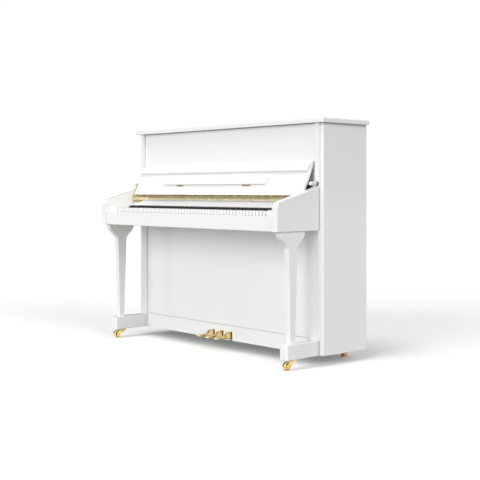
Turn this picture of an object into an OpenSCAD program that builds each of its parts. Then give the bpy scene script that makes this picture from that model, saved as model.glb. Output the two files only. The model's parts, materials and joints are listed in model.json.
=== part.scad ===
// Upright piano in polished white, standing on casters. Millimetres, +Z up, +X to the treble
// end, -Y towards the player. The origin is on the floor, under the middle of the outer box.

/* [Case] */
// Width over the lid
case_w = 1500; // [1440:10:1800]
// Depth from the fronts of the arms to the back
case_d = 598; // [560:2:720]
// Height to the top of the lid
case_h = 1180; // [1150:5:1420]
// How far the arms stand in front of the stiles
arm_reach = 273; // [265:1:300]
// Gap between the floor and the case
floor_gap = 50; // [48:1:60]
// Thickness of the lid
lid_t = 22; // [16:1:28]
// How far the lid stands past each side panel
lid_side_over = 22; // [10:1:30]
// How far the lid stands past the stiles
lid_front_over = 12; // [4:1:20]
// Thickness of the side panels
side_t = 28; // [22:1:34]
// How far the stiles stand in front of the side panels' edges
stile_proud = 14; // [8:1:20]
// Width of a stile beside the upper panel
stile_upper_w = 27; // [22:1:34]
// Width of a stile beside the lower panel
stile_lower_w = 57; // [45:1:70]
// Thickness of the upper and lower panels
panel_t = 19; // [15:1:22]
// Set-back of the upper panel behind the stiles
upper_recess = 16; // [8:1:20]
// Set-back of the lower panel behind the stiles
lower_recess = 8; // [4:1:14]
// Height of the bottom rail above the case's lower edge
bottom_rail_h = 77; // [65:1:95]

/* [Keyboard] */
// Width from one white key to the next
white_pitch = 23.5; // [22:0.1:24.5]
// Height of the white keys' tops
key_top = 739; // [730:1:750]
// Length of a white key that shows
white_len = 150; // [140:1:156]
// Length of a black key
black_len = 95; // [85:1:105]
// Height of a black key over the white ones
black_rise = 12; // [10:0.5:13]
// Travel of a white key's front
key_dip = 10; // [8:0.5:11]
// Thickness of the key levers
key_t = 22; // [18:1:24]
// Height of the key slip under the keys' tops
slip_drop = 22; // [16:1:28]
// Thickness of the key slip
slip_t = 22; // [16:1:26]

/* [Arms and legs] */
// Thickness of an arm
arm_t = 36; // [30:1:42]
// Height of the arms' lower edge
arm_low = 645; // [630:1:655]
// Height of an arm's top behind its rounded front corner
arm_front_top = 790; // [780:1:800]
// Slope of an arm's top, in degrees
arm_slope = 15; // [10:1:18]
// Radius of an arm's front corner
arm_corner = 32; // [20:1:40]
// Width of a leg's neck, from front to back
neck_w = 58; // [48:1:66]
// Width of a leg's foot, from front to back
foot_w = 33; // [28:1:40]
// Thickness of a leg at its neck
leg_t = 32; // [26:1:34]
// Length of a toe block, from its front to the stile
toe_len = 209; // [190:1:220]
// Width of a toe block
toe_w = 53; // [45:1:58]
// Height of a toe block
toe_h = 71; // [60:1:80]

/* [Fallboard] */
// Lean of the open fallboard behind the vertical, in degrees
board_lean = 25; // [20:1:27]
// Length of the fallboard from its hinge
board_len = 203; // [195:1:206]
// Thickness of the fallboard
board_t = 15; // [12:1:18]
// Length of the folding lip
lip_len = 44; // [36:1:46]
// Thickness of the folding lip
lip_t = 15; // [10:1:17]
// Length of the folding music desk
desk_len = 830; // [700:10:1100]
// Height of the folded music desk
desk_h = 47; // [40:1:54]
// Thickness of the music desk
desk_t = 13; // [10:1:16]

/* [Pedals and casters] */
// Distance from one pedal to the next
pedal_pitch = 70; // [60:1:75]
// Width of a pedal's slot
slot_w = 24; // [20:1:28]
// Reach of a pedal in front of the bottom rail
pedal_reach = 112; // [90:1:118]
// Diameter of the caster wheels
wheel_d = 43; // [40:1:46]
// Width of the caster wheels
wheel_w = 20; // [16:1:24]
// Trail of the front casters
caster_trail = 41; // [34:1:46]

/* [Hidden] */
$fn = 48;
gap = 1; // clearance beside a panel or between two keys
fit = 0.05; // radial clearance of a running fit

// Case planes
y_front = -case_d / 2;
y_back = case_d / 2;
side_out = case_w / 2 - lid_side_over;
side_in = side_out - side_t;
stile_y = y_front + arm_reach;
side_y = stile_y + stile_proud;
stile_back = stile_y + 34;
stile_inset = 15;
stile_out = side_out - stile_inset;
upper_in = stile_out - stile_upper_w;
lower_in = stile_out - stile_lower_w;
lid_under = case_h - lid_t;
upper_low = arm_front_top + 72;
lower_y = stile_y + lower_recess;
bottom_rail_top = floor_gap + bottom_rail_h;

// Keyboard planes
arm_in = stile_out - gap - arm_t;
slip_y = y_front + 11;
slip_top = key_top - slip_drop;
key_y = slip_y + slip_t + 11.5;
rail_y = key_y + white_len;
balance_y = key_y + 215;
strings_y = y_back - 125;
rod_y = strings_y - 22;
key_back = strings_y - 48;
bed_back = strings_y - 31;
key_under = key_top - key_t;
white_count = 52;
note_count = 88;
first_note = 9; // the lowest note is the A of its octave
slot = white_pitch * 7 / 12;
keys_half = white_count * white_pitch / 2;
octave_x = -keys_half - 5 * white_pitch; // left edge of the octave that holds the lowest A
bed_t = 40;

// Fallboard hinge, and the frame of the open board: its own Z runs up the board
pivot_y = rail_y - 6;
pivot_z = key_top + 58;
board_face = 1.5;
board_half = arm_in - 5;
lip_hinge = board_len - 18;
desk_foot = 73;
desk_x = -9;
desk_hinge_x = 269;
knuckle_r = 2.6;
pin_r = 1.2;

// Strings, hammers and plate
string_top = case_h - 180;
strike_z = string_top - 70;
bass_count = 26;
bass_slant = 25;
treble_slant = 12;
damper_drop = 115;
plate_t = 10;
plate_y = strings_y + 6;
sound_y = plate_y + 35;
sound_t = 8;
frame_y = sound_y + sound_t + 14;
frame_low = floor_gap + 35;
inner_half = side_in - 6;
action_y = strings_y - 99;

// Pedals
pedal_z = floor_gap + 36;
pedal_pivot_y = lower_y + panel_t + 60;
board_top = floor_gap + 28;
pedal_pin_r = 4;

function arc(c, r, a, b, n = 8) =
    [for (i = [0:n]) c + r * [cos(a + (b - a) * i / n), sin(a + (b - a) * i / n)]];
function round_rect(a, b, r, n = 5) = concat(
    arc([b.x - r, b.y - r], r, 0, 90, n), arc([a.x + r, b.y - r], r, 90, 180, n),
    arc([a.x + r, a.y + r], r, 180, 270, n), arc([b.x - r, a.y + r], r, 270, 360, n));
function ease(t) = (1 - cos(180 * t)) / 2;
function mix(a, b, t) = a + (b - a) * t;
function note_x(k) = octave_x + (k + first_note + 0.5) * slot;
function white_before(s) = [0, 1, 1, 2, 2, 3, 4, 4, 5, 5, 6, 6][s];
function treble_len(k) = 60 * pow(700 / 60 * (string_top - 150) / 850, (note_count - 1 - k) / 61);
function bass_len(k) = (780 - 160 * k / (bass_count - 1)) * (string_top - 100) / 900;
// Each string crosses its note's line at the dampers, so its top end stands to one side
function string_x(k) = note_x(k) + damper_drop * tan(k < bass_count ? -bass_slant : treble_slant);
function along(k, len) = k < bass_count
    ? [string_x(k) + len * sin(bass_slant), string_top - len * cos(bass_slant)]
    : [string_x(k) - len * sin(treble_slant), string_top - len * cos(treble_slant)];
function speaking(k) = k < bass_count ? bass_len(k) : treble_len(k);
// The tuning pins stand in three rows, and each string runs up past the side of its pin
function to_pin(k) = 45 + 25 * (k % 3);
function string_r(k) = k < bass_count ? 1.8 : 0.6;

module block(a, b) { translate(a) cube(b - a); }
// An outline in Y and Z, carried from x = a to x = b
module slab_x(a, b, points) {
    translate([a, 0, 0]) rotate([90, 0, 90]) linear_extrude(b - a) polygon(points);
}
// An outline in X and Z, carried from y = a to y = b
module slab_y(a, b, points) {
    translate([0, b, 0]) rotate([90, 0, 0]) linear_extrude(b - a) polygon(points);
}
module rod_x(a, b, y, z, r) { translate([a, y, z]) rotate([0, 90, 0]) cylinder(h = b - a, r = r); }
module rod_y(a, b, x, z, r) { translate([x, a, z]) rotate([-90, 0, 0]) cylinder(h = b - a, r = r); }
module rod_z(a, b, x, y, r) { translate([x, y, a]) cylinder(h = b - a, r = r); }
module both() { children(); mirror([1, 0, 0]) children(); }
module on_board() { translate([0, pivot_y, pivot_z]) rotate([-board_lean, 0, 0]) children(); }

// Case -------------------------------------------------------------------------------------
module side_panel() {
    edge = 5;
    color("white") translate([0, 0, floor_gap]) linear_extrude(lid_under - 0.5 - floor_gap)
        polygon(concat([[side_in, y_back], [side_in, side_y]],
            arc([side_out - edge, side_y + edge], edge, -90, 0, 6), [[side_out, y_back]]));
}
module side_panel_left() { mirror([1, 0, 0]) side_panel(); }
module side_panel_right() { side_panel(); }

module stile() {
    z = [floor_gap, arm_low - 2, upper_low - 2, lid_under - 0.5];
    for (part = [[z[0], z[1], lower_in], [z[1], z[2], arm_in], [z[2], z[3], upper_in]])
        block([part[2], stile_y, part[0]], [stile_out, side_y, part[1]]);
    for (part = [[z[0], z[1], lower_in], [z[2], z[3], upper_in]])
        block([part[2], side_y, part[0]], [side_in, stile_back, part[1]]);
}
module stiles() { color("white") both() stile(); }

module upper_panel() {
    y = stile_y + upper_recess;
    color("white") block([-upper_in + gap, y, upper_low], [upper_in - gap, y + panel_t, lid_under - 2]);
}
module lower_panel() {
    x = lower_in - gap;
    color("white") block([-x, lower_y, bottom_rail_top + 2], [x, lower_y + panel_t, arm_low - 2]);
}
module bottom_rail() {
    x = lower_in - gap;
    r = slot_w / 2 - 4;
    color("white") difference() {
        block([-x, lower_y, floor_gap], [x, lower_y + panel_t, bottom_rail_top]);
        for (i = [-1:1]) translate([i * pedal_pitch, 0, 0]) {
            slab_y(lower_y - 1, lower_y + panel_t + 1, [[-slot_w / 2, floor_gap - 1],
                [slot_w / 2, floor_gap - 1], [slot_w / 2, floor_gap + 39], [-slot_w / 2, floor_gap + 39]]);
            slab_y(lower_y - 1, lower_y + panel_t + 1, [[-r, floor_gap + 38], [r, floor_gap + 38],
                [r, floor_gap + 47], [-r, floor_gap + 47]]);
            for (s = [-1, 1]) rod_y(lower_y - 1, lower_y + panel_t + 1, s * (slot_w / 2 - 8),
                floor_gap + 39, 8);
        }
    }
}
module bottom_board() {
    half = slot_w / 2 - 3;
    z = pedal_z + 2;
    color("burlywood") {
        block([-lower_in, lower_y + panel_t, floor_gap + 5], [lower_in, stile_back, board_top]);
        block([-side_in, stile_back, floor_gap + 5], [side_in, y_back - 6, board_top]);
        // Bearing blocks and pins that the pedals turn on
        for (i = [-1:1]) {
            for (s = [-1, 1]) translate([i * pedal_pitch + s * (half + 3), 0, 0])
                block([-4, pedal_pivot_y - 12, board_top], [4, pedal_pivot_y + 12, z + 12]);
            rod_x(i * pedal_pitch - half - 3, i * pedal_pitch + half + 3, pedal_pivot_y, z, pedal_pin_r);
        }
    }
}

// Keybed, slip and arms --------------------------------------------------------------------
module key_bed() {
    x = arm_in - 0.5;
    color("white") {
        block([-x, slip_y + slip_t, arm_low], [x, stile_y + 40, arm_low + bed_t]);
        block([-side_in, stile_y + 40, arm_low], [side_in, bed_back, arm_low + bed_t]);
    }
}
module key_slip() {
    color("white") slab_x(-arm_in + gap, arm_in - gap,
        round_rect([slip_y, arm_low], [slip_y + slip_t, slip_top], 3, 3));
}
module key_blocks() {
    color("white") both() slab_x(keys_half + gap, arm_in - gap,
        round_rect([key_y - 10, arm_low + bed_t], [rail_y, key_top + 5], 3, 3));
}
module arm() {
    far = stile_y;
    slope = tan(arm_slope);
    corner = [y_front + arm_corner, arm_front_top - arm_corner - 4];
    // The top starts square to the slope after the corner, and curls up before the stile
    start = arc(corner, arm_corner, 180, 90 + arm_slope, 10);
    tip = start[10];
    curl = 60;
    curl_rise = 4;
    knee = tip + [far - curl - tip.x, (far - curl - tip.x) * slope];
    hook = [for (i = [1:6]) knee + [curl * i / 6, curl * slope * i / 6 + curl_rise * pow(i / 6, 3)]];
    color("white") slab_x(arm_in, stile_out - gap,
        concat([[far, arm_low], [y_front, arm_low]], start, [knee], hook));
}
module arm_left() { mirror([1, 0, 0]) arm(); }
module arm_right() { arm(); }

// The leg tapers from its neck to the foot, and flares from the neck into the arm
toe_top = floor_gap + 1 + toe_h;
leg_mid = y_front + 113;
leg_out = stile_out - 12;
flare_h = 70;
flare_top = arm_low - 15;
neck_z = flare_top - flare_h;
flare_front = 55;
flare_back = 50;
function smooth(t) = t * t * (3 - 2 * t);
function leg_half(z) = mix(foot_w, neck_w, min(1, (z - toe_top) / (neck_z - toe_top))) / 2;
function flare(z) = smooth(max(0, min(1, (z - neck_z) / flare_h)));
module leg() {
    steps = 14;
    heights = concat([toe_top], [for (i = [0:steps]) neck_z + flare_h * i / steps], [arm_low]);
    thin = 3;
    color("white") intersection() {
        slab_x(leg_out - leg_t, leg_out, concat(
            [for (z = heights) [leg_mid - leg_half(z) - flare_front * flare(z), z]],
            [for (i = [len(heights) - 1:-1:0]) let (z = heights[i])
                [leg_mid + leg_half(z) + flare_back * flare(z), z]]));
        slab_y(y_front, stile_y, [[leg_out - leg_t + thin, toe_top], [leg_out - thin, toe_top],
            [leg_out, neck_z], [leg_out, arm_low], [leg_out - leg_t, arm_low], [leg_out - leg_t, neck_z]]);
    }
}
module leg_left() { mirror([1, 0, 0]) leg(); }
module leg_right() { leg(); }

module toe_block() {
    color("white") difference() {
        translate([0, 0, toe_top - toe_h]) linear_extrude(toe_h)
            polygon(round_rect([stile_out - 2 - toe_w, stile_y - toe_len], [stile_out - 2, stile_y], 4, 4));
        rod_z(0, toe_top - toe_h + kingpin_len + 2, caster_x, caster_y, kingpin_r + fit);
    }
}
module toe_block_left() { mirror([1, 0, 0]) toe_block(); }
module toe_block_right() { toe_block(); }

// Fallboard --------------------------------------------------------------------------------
module fallboard_rail() {
    z = key_top + 11;
    color("white") slab_x(-arm_in + 1, arm_in - 1, [[rail_y, z], [rail_y, z + 24], [rail_y + 7, z + 24],
        [rail_y + 7, z + 31], [rail_y - 4.5, z + 31], [rail_y - 4.5, z + 40], [rail_y + 45, z + 40],
        [rail_y + 45, z]]);
}
module stop_pegs() {
    z = arm_front_top + 78;
    x = stile_out - 11;
    collar = 12;
    color("white") both() {
        rod_y(stile_y - collar, stile_y, x, z, 10);
        rod_y(stile_y - 52, stile_y - collar, x, z, 9);
    }
}
knuckle = 30;
knuckles = floor((2 * board_half - 40) / knuckle / 2);
play = 0.3; // clearance at each end of a knuckle
leaf_t = 1.4;
leaf_start = 3.2; // the leaves start this far from the pin, clear of the knuckles
module knuckle_row(odd, radius, bore) {
    first = -knuckles * knuckle + odd * knuckle;
    difference() {
        for (i = [0:knuckles - 1])
            rod_x(first + 2 * i * knuckle + play, first + (2 * i + 1) * knuckle - play, 0, 0, radius);
        if (bore > 0) rod_x(-board_half, board_half, 0, 0, bore);
    }
}
module hinge_leaf() {
    x = knuckles * knuckle;
    color("goldenrod") {
        translate([0, pivot_y, pivot_z]) {
            rod_x(-x, x, 0, 0, pin_r);
            knuckle_row(0, knuckle_r, 0);
            block([-x, 0, -14], [x, leaf_t, -leaf_start]);
            for (i = [0:knuckles - 1]) block([-x + 2 * i * knuckle + play, 0, -leaf_start],
                [-x + (2 * i + 1) * knuckle - play, leaf_t, 0]);
        }
        // The bracket of the soft-fall unit, at the bass end only
        translate([40 - arm_in, 0, pivot_z - 14]) difference() {
            rod_y(pivot_y - 0.6, pivot_y + leaf_t, 0, 0, 38);
            block([-40, pivot_y - 2, 0], [40, pivot_y + 3, 40]);
            block([-40, pivot_y - 2, -40], [40, pivot_y + 3, -16]);
            block([-40, pivot_y - 2, -40], [-37, pivot_y + 3, 1]);
        }
    }
}
module fallboard() {
    round_t = board_t / 2 - 0.5;
    color("white") on_board() slab_x(-board_half, board_half, concat(
        [[board_face, 3.5], [board_face + board_t, 3.5]],
        arc([board_face + board_t - round_t, board_len - round_t], round_t, 0, 90, 6),
        arc([board_face + round_t, board_len - round_t], round_t, 90, 180, 6)));
}
module fallboard_brass() {
    x = knuckles * knuckle;
    color("goldenrod") on_board() {
        knuckle_row(1, knuckle_r, pin_r + fit);
        for (i = [0:knuckles - 1]) difference() {
            block([-x + (2 * i + 1) * knuckle + play, 0.1, 0],
                [-x + (2 * i + 2) * knuckle - play, board_face, leaf_start]);
            rod_x(-board_half, board_half, 0, 0, pin_r + fit);
        }
        block([-x, 0.1, leaf_start], [x, board_face, 17]);
        // The soft-fall strap, in the gap between the board's bass end and the arm
        block([-arm_in + 0.6, -3, 3], [-board_half, 4, 77]);
        for (s = [-1, 1]) translate([desk_x + s * desk_hinge_x, 0, 0])
            block([-30, -0.5, desk_foot - 9], [30, board_face, desk_foot - 3]);
    }
}
module fallboard_lip() {
    color("white") on_board() slab_x(-board_half + 2, board_half - 2,
        round_rect([-lip_t, lip_hinge - 1 - lip_len], [1, lip_hinge - 1], 4, 4));
}
module music_desk() {
    r = 14;
    z = [desk_foot, desk_foot + desk_h];
    ends = [desk_x - desk_len / 2, desk_x + desk_len / 2];
    color("white") on_board() slab_y(-desk_t + 0.8, 0.8, round_rect([ends[0], z[0]], [ends[1], z[1]], r, 6));
}

// Lid --------------------------------------------------------------------------------------
module lid() {
    r = lid_t / 2;
    x = case_w / 2 - r;
    y = stile_y - lid_front_over + r;
    z = case_h - r;
    color("white") {
        block([-x, y, lid_under], [x, y_back, case_h]);
        rod_x(-x, x, y, z, r);
        both() {
            rod_y(y, y_back, x, z, r);
            translate([x, y, z]) sphere(r);
        }
    }
}

// Back, soundboard, plate and strings --------------------------------------------------------
module back_frame() {
    top = lid_under - 8;
    y = [frame_y, y_back - 5];
    color("burlywood") {
        block([-inner_half, y[0], string_top + 10], [inner_half, y[1], top]);
        block([-inner_half, y[0], frame_low], [inner_half, y[1], frame_low + 65]);
        for (i = [-2:2]) block([i * (inner_half - 30) / 2 - 30, y[0], frame_low + 65],
            [i * (inner_half - 30) / 2 + 30, y[1], string_top + 10]);
        // The liner that the soundboard is glued to
        difference() {
            block([-inner_half, y[0] - 14, frame_low], [inner_half, y[0] + 6, string_top + 9]);
            block([-inner_half + 40, y[0] - 15, frame_low + 40],
                [inner_half - 40, y[0] + 7, string_top - 30]);
        }
    }
}
module pin_block() {
    color("tan") block([-inner_half, plate_y, string_top + 10], [inner_half, frame_y, lid_under - 8]);
}
module bridge(first, last, y) {
    half = 14;
    line = [for (k = [first:3:last]) along(k, speaking(k))];
    slab_y(y, sound_y, concat([for (p = line) p + [0, half]],
        [for (i = [len(line) - 1:-1:0]) line[i] - [0, half]]));
}
strut_notes = [bass_count + 21, bass_count + 42];
// A strut of the plate, or the notch for it with some room round it
module strut(k, room) {
    a = [string_x(k) - slot / 2, string_top - 6];
    b = along(k, speaking(k) + 70) - [slot / 2, 0];
    half = [4 + room, 0];
    slab_y(plate_y - 4 - room, plate_y + room, [a - half, a + half, b + half, b - half]);
}
module soundboard() {
    low = frame_low;
    top = string_top + 10;
    color("wheat") {
        block([-inner_half, sound_y, low], [inner_half, sound_y + sound_t, top]);
        intersection() {
            block([-inner_half + 42, sound_y + sound_t, low + 42], [inner_half - 42, frame_y - 1, top - 42]);
            for (i = [-4:4]) translate([0, sound_y + sound_t, (low + top) / 2]) rotate([0, 38, 0])
                block([-1200, 0, i * 130 - 9], [1200, 12, i * 130 + 9]);
        }
        difference() {
            bridge(bass_count, note_count - 1, strings_y + 1.3);
            for (k = strut_notes) strut(k, 1);
        }
        bridge(0, bass_count - 1, strings_y - 5.4);
    }
}
module iron_plate() {
    low = frame_low + 20;
    top = string_top + 9.5;
    notes = [for (k = [bass_count:7:note_count - 1]) k];
    treble_hole = concat([along(bass_count, -10) + [-10, 20], along(note_count - 1, -10) + [20, 20],
        along(note_count - 1, 90) + [20, 0]],
        [for (i = [len(notes) - 1:-1:0]) along(notes[i], speaking(notes[i]) + 45)],
        [along(bass_count, speaking(bass_count) + 45) + [-20, 0]]);
    bass_hole = [along(0, bass_len(0) - 45) + [-30, 0], along(0, bass_len(0) + 45) + [-20, 0],
        along(bass_count - 1, bass_len(bass_count - 1) + 45) + [30, 0],
        along(bass_count - 1, bass_len(bass_count - 1) - 45) + [20, 0]];
    color("goldenrod") {
        difference() {
            block([-inner_half + 2, plate_y, low], [inner_half - 2, plate_y + plate_t, top]);
            slab_y(plate_y - 1, plate_y + plate_t + 1, [for (p = treble_hole) [p.x, min(p.y, top - 26)]]);
            slab_y(plate_y - 1, plate_y + plate_t + 1, bass_hole);
        }
        // The bearing bar behind the strings, and the struts between the groups of strings
        block([-inner_half + 2, strings_y + string_r(bass_count) + fit, top - 14],
            [inner_half - 2, plate_y, top]);
        for (k = strut_notes) strut(k, 0);
    }
}
module tuning_pins() {
    pin = 3.5;
    color("silver") for (k = [0:note_count - 1]) {
        end = along(k, -to_pin(k));
        side = k < bass_count ? -1 : 1;
        beside = (pin + string_r(k) + 0.1) / cos(k < bass_count ? bass_slant : treble_slant);
        rod_y(plate_y - 30, plate_y, end.x + side * beside, end.y, pin);
    }
}
module strings() {
    color("peru") for (k = [0:note_count - 1]) {
        bass = k < bass_count;
        p = along(k, -to_pin(k));
        q = along(k, speaking(k) + (bass ? 75 : 65));
        v = p - q;
        translate([q.x, bass ? strings_y - 8 : strings_y, q.y]) rotate([0, atan2(v.x, v.y), 0])
            cylinder(h = norm(v), r = string_r(k), $fn = 13);
    }
}

// Action -----------------------------------------------------------------------------------
butt_z = strike_z - 100;
module action_frame() {
    ends = [note_x(0) - 20, note_x(25) + slot / 2, note_x(58) + slot / 2, note_x(87) + 20];
    color("silver") for (x = ends) {
        slab_x(x - 1.8, x + 1.8, [[action_y + 14, key_top + 16], [action_y + 74, key_top + 16],
            [action_y + 74, key_top + 28], [action_y + 30, butt_z - 50], [action_y + 30, butt_z - 14],
            [action_y - 16, butt_z - 14], [action_y - 16, butt_z - 50]]);
        rod_z(arm_low + bed_t, key_top + 16, x, bed_back - 8, 5);
    }
    color("burlywood")
        block([ends[0] - 8, action_y - 16, butt_z - 13.9], [ends[3] + 8, action_y + 20, butt_z - 2]);
}
module hammers() {
    color("wheat") {
        for (k = [0:note_count - 1]) translate([note_x(k), action_y, butt_z]) {
            block([-4, -6, 0], [4, 8, 22]);
            block([-2.5, 0, 22], [2.5, 6, 86]);
            slab_x(-4.5, 4.5,
                concat([[-4, 84], [14, 84]], arc([32, 95], 11, -90, 90, 6), [[14, 106], [-4, 106]]));
        }
        block([note_x(0) - 8, action_y - 20, butt_z + 40], [note_x(87) + 8, action_y - 0.2, butt_z + 56]);
    }
}
module dampers() {
    y = strings_y - 26;
    color("dimgray") {
        for (k = [0:68]) translate([note_x(k), 0, 0]) {
            face = (k < bass_count ? strings_y - 10.4 : strings_y - 1.2);
            block([-1.2, y, butt_z - 20], [1.2, y + 2.4, butt_z + 46]);
            block([-4.5, y, butt_z + 46], [4.5, face, butt_z + 66]);
        }
        block([note_x(0) - 6, y - 8, butt_z - 30], [note_x(68) + 6, y + 4, butt_z - 20]);
    }
}
module muffler_rail() {
    y = strings_y - 32;
    color("seagreen") {
        block([note_x(0) - 12, y, strike_z + 55], [note_x(87) + 12, y + 6, strike_z + 70]);
        block([note_x(0) - 8, y + 2, strike_z + 26], [note_x(87) + 8, y + 4, strike_z + 55]);
    }
}

// Keys -------------------------------------------------------------------------------------
module key_frame() {
    z = arm_low + bed_t;
    x = keys_half - 4;
    color("burlywood") {
        block([-x, key_y + 10, z], [x, key_y + 40, key_under - key_dip - 1]);
        block([-x, balance_y - 20, z], [x, balance_y + 20, key_under - 5]);
        block([-x, balance_y - 4, key_under - 5], [x, balance_y + 4, key_under - 0.4]);
        block([-x, key_back - 30, z], [x, key_back - 2, key_under - 0.5]);
    }
}
// Every key of one pitch class, 0 for C to 11 for B
module key_set(pitch) {
    black = search(pitch, [1, 3, 6, 8, 10]) != [];
    for (k = [0:note_count - 1]) if ((k + first_note) % 12 == pitch) {
        octave = floor((k + first_note) / 12);
        x = note_x(k);
        if (black) {
            block([x - slot / 2 + gap / 2, rail_y - black_len, key_under],
                [x + slot / 2 - gap / 2, key_back, key_top - 1.5]);
            slab_x(x - 5, x + 5, [[rail_y - black_len, key_top - 2], [rail_y - 2, key_top - 2],
                [rail_y - 2, key_top + black_rise], [rail_y - black_len + 8, key_top + black_rise],
                [rail_y - black_len + 2, key_top + black_rise - 3]]);
        } else {
            left = octave_x + (7 * octave + white_before(pitch)) * white_pitch;
            head = [left + gap / 2, left + white_pitch - gap / 2];
            last = k == note_count - 1;
            tail = [k == 0 ? head[0] : max(head[0], x - slot / 2 + 0.6),
                last ? head[1] : min(head[1], x + slot / 2 - 0.6)];
            step = rail_y - black_len - 2;
            translate([0, 0, key_under]) linear_extrude(key_t) polygon([[head[0], key_y], [head[1], key_y],
                [head[1], step], [tail[1], step], [tail[1], key_back], [tail[0], key_back], [tail[0], step],
                [head[0], step]]);
        }
    }
}
module keys_c() { color("ivory") key_set(0); }
module keys_c_sharp() { color("black") key_set(1); }
module keys_d() { color("ivory") key_set(2); }
module keys_d_sharp() { color("black") key_set(3); }
module keys_e() { color("ivory") key_set(4); }
module keys_f() { color("ivory") key_set(5); }
module keys_f_sharp() { color("black") key_set(6); }
module keys_g() { color("ivory") key_set(7); }
module keys_g_sharp() { color("black") key_set(8); }
module keys_a() { color("ivory") key_set(9); }
module keys_a_sharp() { color("black") key_set(10); }
module keys_b() { color("ivory") key_set(11); }

// Pedals and casters -----------------------------------------------------------------------
module pedal(i) {
    y = lower_y;
    z = pedal_z;
    half = slot_w / 2 - 3;
    toe_r = 14;
    color("goldenrod") translate([i * pedal_pitch, 0, 0]) difference() {
        union() {
            // The lever inside, the neck in the slot and the swept toe
            slab_x(-half + 2, half - 2, [[y + 2, z - 4], [pedal_pivot_y, z], [rod_y + 8, z],
                [rod_y + 8, z + 10], [pedal_pivot_y, z + 10], [y - 2, z + 9], [y - 20, z + 8],
                [y - 40, z - 10], [y - pedal_reach + 12, z - 13], [y - pedal_reach + 12, z - 22],
                [y - 42, z - 23], [y - 34, z - 28], [y - 10, z - 28]]);
            translate([0, 0, z - 22]) linear_extrude(9) polygon(concat(
                [[half - 2, y - 45], [-half + 2, y - 45]], [[-toe_r, y - pedal_reach + toe_r + 2]],
                arc([0, y - pedal_reach + toe_r], toe_r, 180, 360, 10)));
            rod_x(-half + 2, half - 2, pedal_pivot_y, z + 2, 9);
        }
        rod_x(-half, half, pedal_pivot_y, z + 2, pedal_pin_r + fit);
    }
}
module pedal_soft() { pedal(-1); }
module pedal_middle() { pedal(0); }
module pedal_sustain() { pedal(1); }
module rod(i) { color("silver") rod_z(pedal_z + 10.5, butt_z - 60, i * pedal_pitch, rod_y, 4); }
module rod_soft() { rod(-1); }
module rod_middle() { rod(0); }
module rod_sustain() { rod(1); }

caster_x = stile_out - 2 - toe_w / 2;
caster_y = stile_y - toe_len + 64;
wheel_y = caster_y - caster_trail;
wheel_r = wheel_d / 2;
rear_x = side_in - 90;
rear_y = y_back - 40;
axle_r = 3;
kingpin_r = 5;
kingpin_len = 30;
module caster_fork() {
    half = wheel_w / 2 + 1.2;
    top = toe_top - toe_h;
    color("goldenrod") {
        rod_z(top - 3, top - 0.5, caster_x, caster_y, 19);
        rod_z(top - 1, top + kingpin_len, caster_x, caster_y, kingpin_r);
        rod_x(caster_x - half - 2, caster_x + half + 2, wheel_y, wheel_r, axle_r);
        block([caster_x - half - 2.4, caster_y - 26, top - 6],
            [caster_x + half + 2.4, caster_y + 14, top - 3]);
        for (s = [-1, 1]) translate([caster_x + s * (half + 1.2), 0, 0]) slab_x(-1.2, 1.2, concat(
            [[caster_y + 14, top - 4], [caster_y - 26, top - 4]], arc([wheel_y, wheel_r], 9, 130, 330, 8)));
    }
}
module caster_fork_left() { mirror([1, 0, 0]) caster_fork(); }
module caster_fork_right() { caster_fork(); }
// The rear casters' housings are fixed to the bottom board, with their axles along Y
module rear_casters() {
    half = wheel_w / 2 + 1.2;
    color("goldenrod") both() translate([rear_x, rear_y, 0]) {
        block([-26, -half - 2.4, floor_gap + 1], [26, half + 2.4, floor_gap + 5]);
        rod_y(-half - 2, half + 2, 0, wheel_r, axle_r);
        for (s = [-1, 1]) translate([0, s * (half + 1.2), 0]) slab_y(-1.2, 1.2, concat(
            [[20, floor_gap + 2], [-20, floor_gap + 2]], arc([0, wheel_r], 9, 200, 340, 8)));
    }
}
module wheel() {
    shoulder = 4;
    difference() {
        rotate_extrude() polygon(concat([[0, -wheel_w / 2]],
            arc([wheel_r - shoulder, -wheel_w / 2 + shoulder], shoulder, -90, 0, 4),
            arc([wheel_r - shoulder, wheel_w / 2 - shoulder], shoulder, 0, 90, 4), [[0, wheel_w / 2]]));
        cylinder(h = wheel_w + 2, r = axle_r + fit, center = true);
    }
}
module front_wheel() {
    color("goldenrod") translate([caster_x, wheel_y, wheel_r]) rotate([0, 90, 0]) wheel();
}
module rear_wheel() {
    color("goldenrod") translate([rear_x, rear_y, wheel_r]) rotate([90, 0, 0]) wheel();
}
module wheel_front_left() { mirror([1, 0, 0]) front_wheel(); }
module wheel_front_right() { front_wheel(); }
module wheel_rear_left() { mirror([1, 0, 0]) rear_wheel(); }
module wheel_rear_right() { rear_wheel(); }

side_panel_left();
side_panel_right();
stiles();
upper_panel();
lower_panel();
bottom_rail();
bottom_board();
key_bed();
key_slip();
key_blocks();
arm_left();
arm_right();
leg_left();
leg_right();
toe_block_left();
toe_block_right();
fallboard_rail();
stop_pegs();
hinge_leaf();
fallboard();
fallboard_brass();
fallboard_lip();
music_desk();
lid();
back_frame();
pin_block();
soundboard();
iron_plate();
tuning_pins();
strings();
action_frame();
hammers();
dampers();
muffler_rail();
key_frame();
keys_c();
keys_c_sharp();
keys_d();
keys_d_sharp();
keys_e();
keys_f();
keys_f_sharp();
keys_g();
keys_g_sharp();
keys_a();
keys_a_sharp();
keys_b();
pedal_soft();
pedal_middle();
pedal_sustain();
rod_soft();
rod_middle();
rod_sustain();
rear_casters();
caster_fork_left();
caster_fork_right();
wheel_front_left();
wheel_front_right();
wheel_rear_left();
wheel_rear_right();
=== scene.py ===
"""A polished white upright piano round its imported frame. Metres, +Z up, the player on the -Y side."""
import json
import math

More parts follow.
